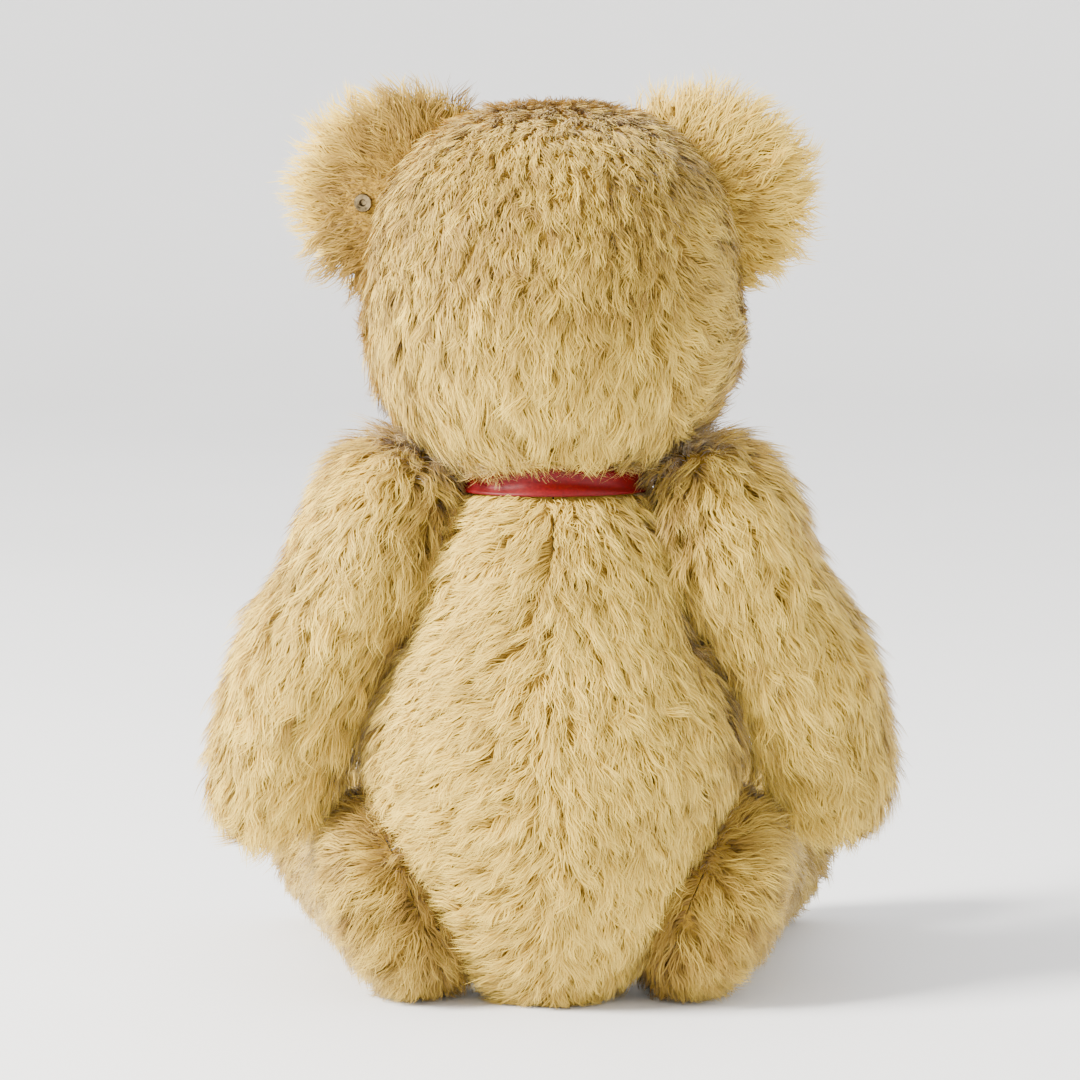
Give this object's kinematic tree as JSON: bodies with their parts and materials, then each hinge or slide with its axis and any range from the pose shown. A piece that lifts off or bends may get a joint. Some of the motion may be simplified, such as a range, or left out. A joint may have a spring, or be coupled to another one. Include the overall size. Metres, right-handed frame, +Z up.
{
  "type": "jointed teddy bear",
  "caption": "Sitting plush bear with a swivelling head and disc-jointed arms and legs, cupped ears, long muzzle and a satin ribbon tied in a bow at the neck.",
  "frame": {"origin": "middle of the seat's flat rest, on the surface the bear sits on", "axes": "+Z up through the neck joint, -Y the way the bear faces, +X the bear's left"},
  "size_m": [0.1896, 0.1563, 0.2554],
  "materials": {
    "mohair": "pale honey mohair plush",
    "wood_wool": "packed wood wool",
    "felt": "wool felt",
    "hardboard": "pressed hardboard",
    "steel": "plain steel",
    "stud_metal": "aged plated brass",
    "eye_glass": "polished black button",
    "thread": "dark brown embroidery thread",
    "satin": "dark red satin"
  },
  "bodies": {
    "torso": {"neck_ribbon": "satin", "ribbon_bow": "satin", "torso_cover_left": "mohair", "torso_cover_right": "mohair", "torso_disc_arm_left": "hardboard", "torso_disc_arm_right": "hardboard", "torso_disc_leg_left": "hardboard", "torso_disc_leg_right": "hardboard", "torso_disc_neck": "hardboard", "torso_filling": "wood_wool", "torso_washers": "steel"},
    "head": {"ear_left_back": "mohair", "ear_left_front": "mohair", "ear_right_back": "mohair", "ear_right_front": "mohair", "ear_stud": "stud_metal", "eye_left": "eye_glass", "eye_right": "eye_glass", "head_cover_left": "mohair", "head_cover_right": "mohair", "head_disc": "hardboard", "head_filling": "wood_wool", "head_gusset": "mohair", "head_pin": "steel", "head_washer": "steel", "mouth_stitches": "thread", "nose": "thread"},
    "arm_left": {"arm_left_claws": "thread", "arm_left_cover_inner": "mohair", "arm_left_cover_outer": "mohair", "arm_left_disc": "hardboard", "arm_left_filling": "wood_wool", "arm_left_pad": "felt", "arm_left_pin": "steel", "arm_left_washer": "steel"},
    "arm_right": {"arm_right_claws": "thread", "arm_right_cover_inner": "mohair", "arm_right_cover_outer": "mohair", "arm_right_disc": "hardboard", "arm_right_filling": "wood_wool", "arm_right_pad": "felt", "arm_right_pin": "steel", "arm_right_washer": "steel"},
    "leg_left": {"leg_left_claws": "thread", "leg_left_cover_inner": "mohair", "leg_left_cover_outer": "mohair", "leg_left_disc": "hardboard", "leg_left_filling": "wood_wool", "leg_left_pad": "felt", "leg_left_pin": "steel", "leg_left_washer": "steel"},
    "leg_right": {"leg_right_claws": "thread", "leg_right_cover_inner": "mohair", "leg_right_cover_outer": "mohair", "leg_right_disc": "hardboard", "leg_right_filling": "wood_wool", "leg_right_pad": "felt", "leg_right_pin": "steel", "leg_right_washer": "steel"}
  },
  "joints": [
    {"name": "neck_turn", "type": "hinge", "parent": "torso", "child": "head", "pos_m": [0, 0, 0.157], "axis": [0, 0, 1], "continuous": true},
    {"name": "shoulder_left", "type": "hinge", "parent": "torso", "child": "arm_left", "pos_m": [0.0315, 0, 0.13], "axis": [-0.9848, 0, -0.1736], "range_deg": [-100, 84]},
    {"name": "shoulder_right", "type": "hinge", "parent": "torso", "child": "arm_right", "pos_m": [-0.0315, 0, 0.13], "axis": [-0.9848, 0, 0.1736], "range_deg": [-105, 79]},
    {"name": "hip_left", "type": "hinge", "parent": "torso", "child": "leg_left", "pos_m": [0.0335, -0.006, 0.033], "axis": [-0.9272, 0, 0.3746], "range_deg": [-105, 10]},
    {"name": "hip_right", "type": "hinge", "parent": "torso", "child": "leg_right", "pos_m": [-0.0335, -0.006, 0.033], "axis": [-0.9272, 0, -0.3746], "range_deg": [-105, 10]}
  ]
}
